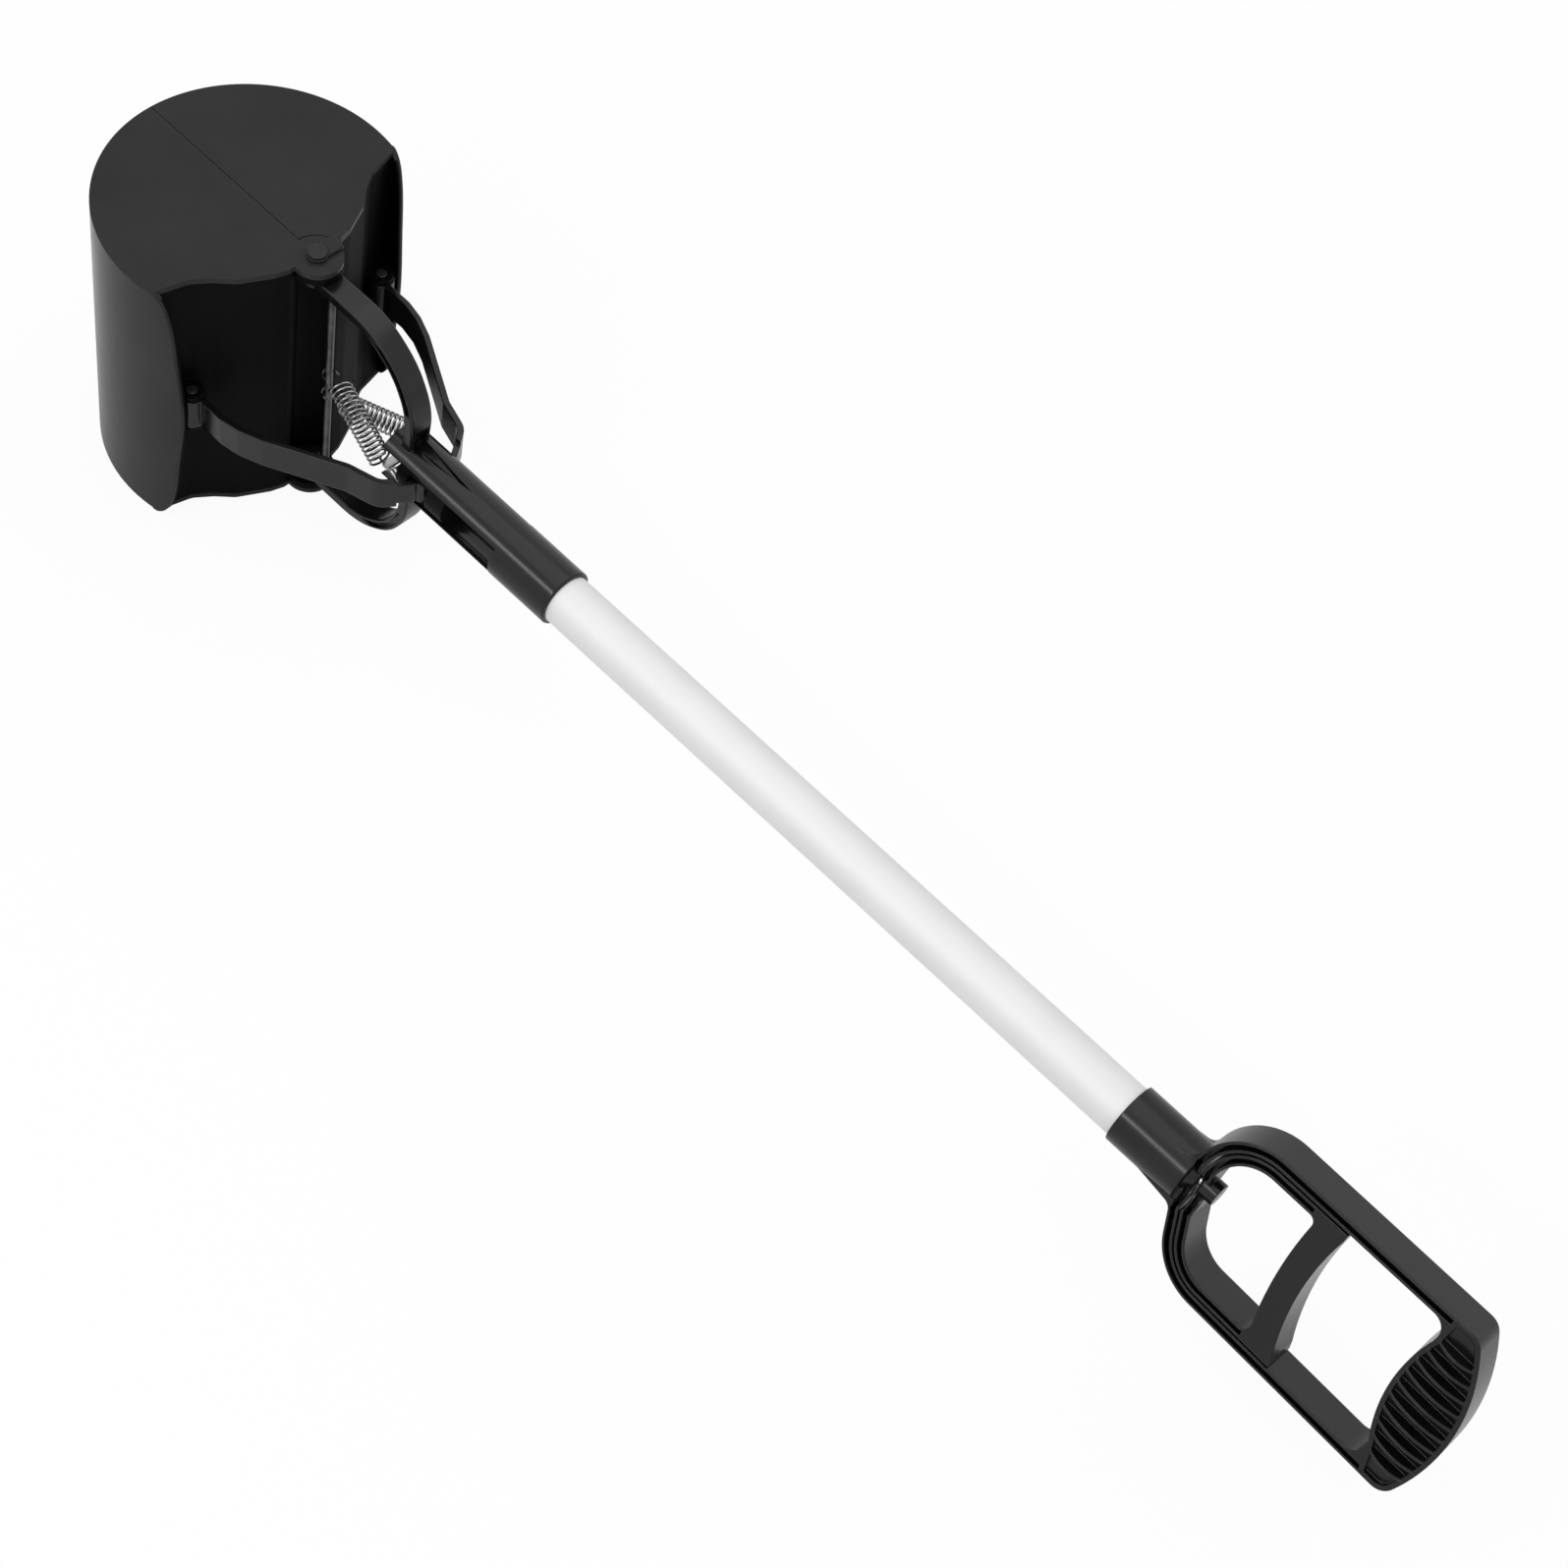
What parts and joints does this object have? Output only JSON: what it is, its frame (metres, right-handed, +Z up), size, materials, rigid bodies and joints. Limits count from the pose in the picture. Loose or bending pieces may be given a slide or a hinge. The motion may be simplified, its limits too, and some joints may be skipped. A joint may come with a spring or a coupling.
{
  "type": "pooper scooper",
  "caption": "Long-handled jaw scooper: a round two-jaw bucket on a forked socket and straight tube, opened by a trigger inside a D-shaped handle and closed by springs.",
  "frame": {"origin": "middle of the object's box in plan, on the plane that the bucket's lower end plates stand on", "axes": "+X runs along the tube from the bucket to the handle grip, +Z is up along the jaws' hinge line, +Y points to the right jaw"},
  "size_m": [0.8108, 0.145, 0.1571],
  "materials": {
    "black_plastic": "fine moulded texture, slightly glossy on edges",
    "link_plastic": "smooth moulded",
    "satin_aluminium": "satin drawn tube",
    "bright_steel": "bright zinc plated"
  },
  "bodies": {
    "frame": {"fork": "black_plastic", "shaft_tube": "satin_aluminium", "spring_rod": "bright_steel", "upper_hinge_pin": "black_plastic", "lower_hinge_pin": "black_plastic", "handle_frame": "black_plastic", "upper_spring": "bright_steel", "lower_spring": "bright_steel"},
    "trigger": {"trigger": "black_plastic", "pull_rod": "bright_steel", "slider": "black_plastic", "left_slider_pin": "bright_steel", "right_slider_pin": "bright_steel", "spring_plate": "bright_steel"},
    "left_jaw": {"left_jaw": "black_plastic", "left_link_pin": "bright_steel"},
    "right_jaw": {"right_jaw": "black_plastic", "right_link_pin": "bright_steel"},
    "left_link": {"left_link": "link_plastic"},
    "right_link": {"right_link": "link_plastic"}
  },
  "joints": [
    {"name": "trigger_pull", "type": "slide", "parent": "frame", "child": "trigger", "axis": [1, 0, 0], "range_m": [0, 0.028], "stiffness_N_per_m": 800, "springref_m": -0.03, "deforming": ["upper_spring", "lower_spring"]},
    {"name": "left_jaw_swing", "type": "hinge", "parent": "frame", "child": "left_jaw", "pos_m": [-0.29026, 0, 0.077], "axis": [0, 0, 1], "range_deg": [0, 27.84]},
    {"name": "right_jaw_swing", "type": "hinge", "parent": "frame", "child": "right_jaw", "pos_m": [-0.29026, 0, 0.077], "axis": [0, 0, 1], "range_deg": [-27.84, 0]},
    {"name": "left_link_swing", "type": "hinge", "parent": "trigger", "child": "left_link", "pos_m": [-0.20626, -0.007, 0.077], "axis": [0, 0, 1], "range_deg": [0, 0.87]},
    {"name": "right_link_swing", "type": "hinge", "parent": "trigger", "child": "right_link", "pos_m": [-0.20626, 0.007, 0.077], "axis": [0, 0, 1], "range_deg": [-0.87, 0]}
  ],
  "couplings": [
    {"joint": "left_jaw_swing", "follows": "trigger_pull", "rad_per_m": 17.355},
    {"joint": "right_jaw_swing", "follows": "trigger_pull", "rad_per_m": -17.355},
    {"joint": "left_link_swing", "follows": "trigger_pull", "rad_per_m": 0.5405},
    {"joint": "right_link_swing", "follows": "trigger_pull", "rad_per_m": -0.5405}
  ]
}
